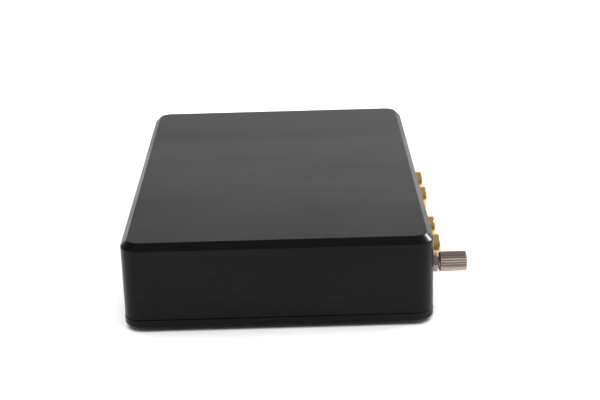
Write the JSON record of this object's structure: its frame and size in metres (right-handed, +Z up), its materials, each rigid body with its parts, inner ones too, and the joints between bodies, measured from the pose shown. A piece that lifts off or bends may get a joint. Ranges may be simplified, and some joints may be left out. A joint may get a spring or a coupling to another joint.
{
  "type": "demagnetizer",
  "caption": "Flat black metal box with gold phono sockets and a knurled earth nut on one long side, which sends out a fading alternating current.",
  "frame": {"origin": "on the surface that the feet stand on, under the middle of the bounding box, which is 4.65 mm toward +X from the middle of the case", "axes": "+X toward the socket side, +Y along the case's length away from the earth terminal, +Z up"},
  "size_m": [0.1094, 0.1382, 0.029],
  "materials": {
    "case_black": "black anodised, fine satin",
    "foot_rubber": "matt",
    "screw_steel": "zinc plated",
    "board_green": "solder mask over glass-filled resin",
    "plastic_black": "moulded, fine grain",
    "plastic_red": "moulded",
    "plastic_white": "moulded",
    "gold_plate": "polished gold plate",
    "nickel_plate": "satin nickel plate",
    "tinned_tag": "tin plate",
    "wire_green": "extruded insulation",
    "lead_grey": "extruded sheath",
    "lead_red": "extruded sheath",
    "button_steel": "turned, fine brushed",
    "spring_steel": "drawn wire",
    "lamp_red": "clear tinted resin",
    "connector_white": "moulded",
    "transformer_iron": "varnished laminations",
    "nylon_natural": "moulded",
    "copper_wire": "enamelled wire",
    "relay_orange": "moulded cover",
    "film_red": "dipped",
    "capacitor_blue": "heat-shrunk sleeve"
  },
  "bodies": {
    "case": {"case_shell": "case_black", "base_plate": "case_black", "base_screw_near_left": "screw_steel", "base_screw_near_right": "screw_steel", "base_screw_far_left": "screw_steel", "base_screw_far_right": "screw_steel", "foot_near_left": "foot_rubber", "foot_near_right": "foot_rubber", "foot_far_left": "foot_rubber", "foot_far_right": "foot_rubber", "circuit_board": "board_green", "board_screw_near_left": "screw_steel", "board_screw_near_right": "screw_steel", "board_screw_far_left": "screw_steel", "board_screw_far_right": "screw_steel", "input_right_housing": "plastic_black", "input_right_barrel": "gold_plate", "input_right_insulator": "plastic_red", "input_right_contact": "gold_plate", "input_left_housing": "plastic_black", "input_left_barrel": "gold_plate", "input_left_insulator": "plastic_white", "input_left_contact": "gold_plate", "output_right_housing": "plastic_black", "output_right_barrel": "gold_plate", "output_right_insulator": "plastic_red", "output_right_contact": "gold_plate", "output_left_housing": "plastic_black", "output_left_barrel": "gold_plate", "output_left_insulator": "plastic_white", "output_left_contact": "gold_plate", "earth_screw": "nickel_plate", "earth_tag": "tinned_tag", "earth_wire": "wire_green", "earth_nut": "nickel_plate", "inlet_housing": "plastic_black", "inlet_pin": "nickel_plate", "button_bezel": "button_steel", "button_nut": "button_steel", "button_spring": "spring_steel", "switch_body": "plastic_black", "status_lamp": "lamp_red", "front_connector": "connector_white", "button_lead": "lead_grey", "lamp_lead": "lead_red", "transformer_core": "transformer_iron", "transformer_bobbin": "nylon_natural", "transformer_winding": "copper_wire", "relay_output": "relay_orange", "relay_input": "relay_orange", "coupling_capacitor_left": "film_red", "coupling_capacitor_right": "film_red", "filter_capacitor": "capacitor_blue", "regulator": "plastic_black", "controller_chip": "plastic_black", "driver_chip": "plastic_black"},
    "start_button": {"start_button": "button_steel"},
    "earth_washer": {"earth_washer": "nickel_plate"},
    "thumb_nut": {"thumb_nut": "nickel_plate"}
  },
  "joints": [
    {"name": "start_button_press", "type": "slide", "parent": "case", "child": "start_button", "axis": [1, 0, 0], "range_m": [0, 0.0012], "stiffness_N_per_m": 400, "springref_m": -0.003, "deforming": ["button_spring"]},
    {"name": "earth_washer_slide", "type": "slide", "parent": "case", "child": "earth_washer", "axis": [1, 0, 0], "range_m": [0, 0.004]},
    {"name": "thumb_nut_turn", "type": "hinge", "parent": "earth_washer", "child": "thumb_nut", "pos_m": [0.04335, -0.055, 0.0152], "axis": [1, 0, 0], "range_deg": [0, 2880]}
  ],
  "couplings": [
    {"joint": "thumb_nut_turn", "follows": "earth_washer_slide", "rad_per_m": 12566}
  ]
}
